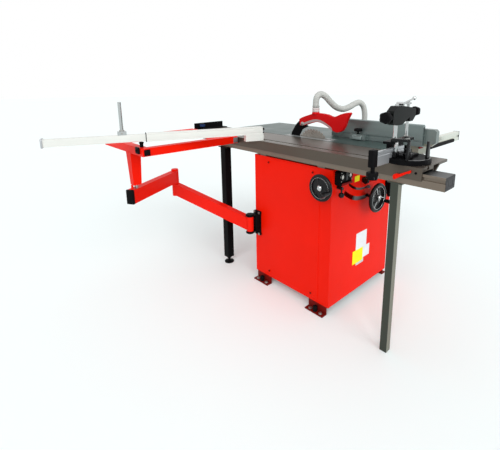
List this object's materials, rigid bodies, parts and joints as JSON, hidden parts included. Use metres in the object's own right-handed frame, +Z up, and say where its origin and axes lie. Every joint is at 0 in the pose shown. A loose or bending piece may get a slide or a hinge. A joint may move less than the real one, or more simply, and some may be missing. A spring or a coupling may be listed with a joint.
{
  "type": "circular saw machine",
  "caption": "Sliding-table circular saw with a tilting, rising blade, guard with dust hose, rip fence, outrigger frame on a jointed arm, crosscut fence and mitre gauge with a hold-down.",
  "frame": {"origin": "on the floor, under the middle of the machine's own outline", "axes": "+Z up, +X to the operator's right along the fence rail, +Y away from the operator along the sliding carriage"},
  "size_m": [2.1264, 1.685, 1.1126],
  "materials": {
    "red": "satin paint",
    "panel_red": "satin paint",
    "cast_iron": "ground",
    "aluminium": "anodised",
    "black_paint": "semi-matt paint",
    "black_plastic": "moulded",
    "chrome": "polished",
    "steel": "turned",
    "blade_steel": "ground",
    "beige": "textured paint",
    "rubber": "moulded",
    "hose_grey": "ribbed",
    "grey_paint": "cast and painted",
    "button_white": "moulded"
  },
  "bodies": {
    "base": {"cabinet_shell": "red", "side_panel": "panel_red", "foot_front_left": "black_paint", "foot_front_right": "black_paint", "foot_rear_left": "black_paint", "foot_rear_right": "black_paint", "main_table": "cast_iron", "rear_table": "cast_iron", "table_insert": "steel", "fixed_beam": "aluminium", "front_leg": "steel", "rear_leg": "black_paint", "rip_rail": "aluminium", "switch_box": "black_plastic", "terminal_box": "black_plastic", "hinge_bracket": "black_paint", "dust_port": "black_plastic", "front_trunnion": "grey_paint", "rear_trunnion": "grey_paint", "hose_main": "hose_grey"},
    "start_button": {"start_button": "button_white"},
    "stop_button": {"stop_button": "button_white"},
    "carriage": {"sliding_carriage": "aluminium", "outrigger_frame": "red", "outrigger_leg": "red", "rear_stop": "black_paint", "mitre_base": "black_paint"},
    "carriage_lock": {"carriage_lock": "red"},
    "fence_knob": {"fence_pivot_knob": "black_plastic"},
    "inner_link": {"inner_link": "red"},
    "outer_link": {"outer_link": "red"},
    "crosscut": {"crosscut_fence": "aluminium"},
    "extension": {"fence_extension": "aluminium"},
    "post": {"fence_post": "chrome"},
    "mitre": {"mitre_head": "black_paint", "mitre_fence": "aluminium", "clamp_post": "chrome"},
    "clamp_arm": {"clamp_arm": "black_plastic"},
    "clamp_lever": {"clamp_lever": "chrome"},
    "clamp_spindle": {"clamp_spindle": "chrome"},
    "cradle": {"tilt_cradle": "grey_paint"},
    "tilt_wheel": {"tilt_wheel": "black_plastic"},
    "tilt_crank": {"tilt_crank": "black_plastic"},
    "lock_knob": {"tilt_lock_knob": "black_plastic"},
    "ball_lever": {"lock_ball_lever": "black_plastic"},
    "elevation_wheel": {"elevation_wheel": "black_plastic"},
    "elevation_crank": {"elevation_crank": "black_plastic"},
    "elevating": {"drive_unit": "grey_paint", "drive_belt": "rubber", "riving_knife": "black_paint", "hose_mid": "hose_grey"},
    "spindle": {"arbor": "steel", "saw_blade": "blade_steel"},
    "motor_pulley": {"motor_pulley": "steel"},
    "guard": {"blade_guard": "red", "hose_end": "hose_grey"},
    "rip": {"rip_fence": "aluminium", "rip_carrier": "beige"},
    "rip_lever": {"rip_lever": "black_plastic"},
    "rip_knob": {"rip_knob": "black_plastic"}
  },
  "joints": [
    {"name": "carriage_slide", "type": "slide", "parent": "base", "child": "carriage", "axis": [0, 1, 0], "range_m": [-0.7, 0.13]},
    {"name": "carriage_lock_turn", "type": "hinge", "parent": "carriage", "child": "carriage_lock", "pos_m": [-0.11379, -0.6615, 0.802], "axis": [1, 0, 0], "range_deg": [0, 60]},
    {"name": "inner_link_swing", "type": "hinge", "parent": "base", "child": "inner_link", "pos_m": [-0.15379, 0.1905, 0.365], "axis": [0, 0, 1], "range_deg": [-13, 67]},
    {"name": "outer_link_swing", "type": "hinge", "parent": "inner_link", "child": "outer_link", "pos_m": [-0.32579, 0.7185, 0.56], "axis": [0, 0, 1], "range_deg": [-9, 2]},
    {"name": "fence_knob_turn", "type": "hinge", "parent": "carriage", "child": "fence_knob", "pos_m": [-0.05779, 0.1935, 0.89], "axis": [0, 0, 1], "range_deg": [-90, 90]},
    {"name": "crosscut_swivel", "type": "hinge", "parent": "carriage", "child": "crosscut", "pos_m": [-0.05779, 0.1935, 0.87], "axis": [0, 0, 1], "range_deg": [-24, 21]},
    {"name": "extension_slide", "type": "slide", "parent": "crosscut", "child": "extension", "axis": [-0.9336, 0.3584, 0], "range_m": [-0.04, 0.15]},
    {"name": "post_slide", "type": "slide", "parent": "extension", "child": "post", "axis": [-0.9336, 0.3584, 0], "range_m": [-0.04, 0.3]},
    {"name": "mitre_swivel", "type": "hinge", "parent": "carriage", "child": "mitre", "pos_m": [-0.02579, -0.6565, 0.87], "axis": [0, 0, 1], "range_deg": [-45, 45]},
    {"name": "clamp_swing", "type": "hinge", "parent": "mitre", "child": "clamp_arm", "pos_m": [-0.08179, -0.6255, 1], "axis": [0, 0, 1], "range_deg": [-80, 80]},
    {"name": "clamp_lever_turn", "type": "hinge", "parent": "clamp_arm", "child": "clamp_lever", "pos_m": [-0.06179, -0.6255, 1.082], "axis": [0, 1, 0], "range_deg": [-80, 0]},
    {"name": "clamp_spindle_slide", "type": "slide", "parent": "clamp_arm", "child": "clamp_spindle", "axis": [0, 0, 1], "range_m": [0, 0.03]},
    {"name": "tilt", "type": "hinge", "parent": "base", "child": "cradle", "pos_m": [0.19021, -0.0565, 0.85], "axis": [0, 1, 0], "range_deg": [0, 45], "deforming": ["hose_end", "hose_mid", "hose_main"]},
    {"name": "tilt_wheel_turn", "type": "hinge", "parent": "base", "child": "tilt_wheel", "pos_m": [-0.14079, -0.3065, 0.684], "axis": [1, 0, 0], "range_deg": [0, 2701]},
    {"name": "tilt_crank_spin", "type": "hinge", "parent": "tilt_wheel", "child": "tilt_crank", "pos_m": [-0.14079, -0.36263, 0.6741], "axis": [1, 0, 0], "continuous": true},
    {"name": "lock_knob_turn", "type": "hinge", "parent": "base", "child": "lock_knob", "pos_m": [0.18221, -0.3565, 0.67], "axis": [1, 0, 0], "range_deg": [-90, 90]},
    {"name": "ball_lever_turn", "type": "hinge", "parent": "base", "child": "ball_lever", "pos_m": [-0.04879, -0.3565, 0.674], "axis": [0, 1, 0], "range_deg": [-30, 60]},
    {"name": "elevation", "type": "slide", "parent": "cradle", "child": "elevating", "axis": [0, 0, 1], "range_m": [-0.045, 0.02], "deforming": ["hose_end", "hose_mid"]},
    {"name": "elevation_wheel_turn", "type": "hinge", "parent": "cradle", "child": "elevation_wheel", "pos_m": [0.22433, -0.3985, 0.57209], "axis": [0, 1, 0], "range_deg": [-216, 96]},
    {"name": "elevation_crank_spin", "type": "hinge", "parent": "elevation_wheel", "child": "elevation_crank", "pos_m": [0.28778, -0.3985, 0.5425], "axis": [0, 1, 0], "continuous": true},
    {"name": "blade_spin", "type": "hinge", "parent": "elevating", "child": "spindle", "pos_m": [0.19021, 0.0165, 0.773], "axis": [1, 0, 0], "continuous": true},
    {"name": "motor_spin", "type": "hinge", "parent": "elevating", "child": "motor_pulley", "pos_m": [0.26821, 0.0165, 0.633], "axis": [1, 0, 0], "continuous": true},
    {"name": "guard_lift", "type": "hinge", "parent": "elevating", "child": "guard", "pos_m": [0.19021, 0.0885, 0.924], "axis": [-1, 0, 0], "range_deg": [0, 20], "deforming": ["hose_end"]},
    {"name": "rip_slide", "type": "slide", "parent": "base", "child": "rip", "axis": [1, 0, 0], "range_m": [-0.07, 0.24]},
    {"name": "rip_lever_turn", "type": "hinge", "parent": "rip", "child": "rip_lever", "pos_m": [0.46621, -0.5265, 0.818], "axis": [0, 0, 1], "range_deg": [-70, 0]},
    {"name": "rip_knob_turn", "type": "hinge", "parent": "rip", "child": "rip_knob", "pos_m": [0.29221, -0.2185, 0.9], "axis": [0, 0, 1], "range_deg": [-90, 90]},
    {"name": "start_press", "type": "slide", "parent": "base", "child": "start_button", "axis": [0, 1, 0], "range_m": [0, 0.003], "stiffness_N_per_m": 300},
    {"name": "stop_press", "type": "slide", "parent": "base", "child": "stop_button", "axis": [0, 1, 0], "range_m": [0, 0.003], "stiffness_N_per_m": 300}
  ],
  "couplings": [
    {"joint": "inner_link_swing", "follows": "carriage_slide", "rad_per_m": -1.658},
    {"joint": "outer_link_swing", "follows": "carriage_slide", "rad_per_m": 0.2094},
    {"joint": "tilt_wheel_turn", "follows": "tilt", "ratio": 60},
    {"joint": "elevation_wheel_turn", "follows": "elevation", "rad_per_m": 83.333},
    {"joint": "motor_spin", "follows": "blade_spin", "ratio": 0.8}
  ]
}
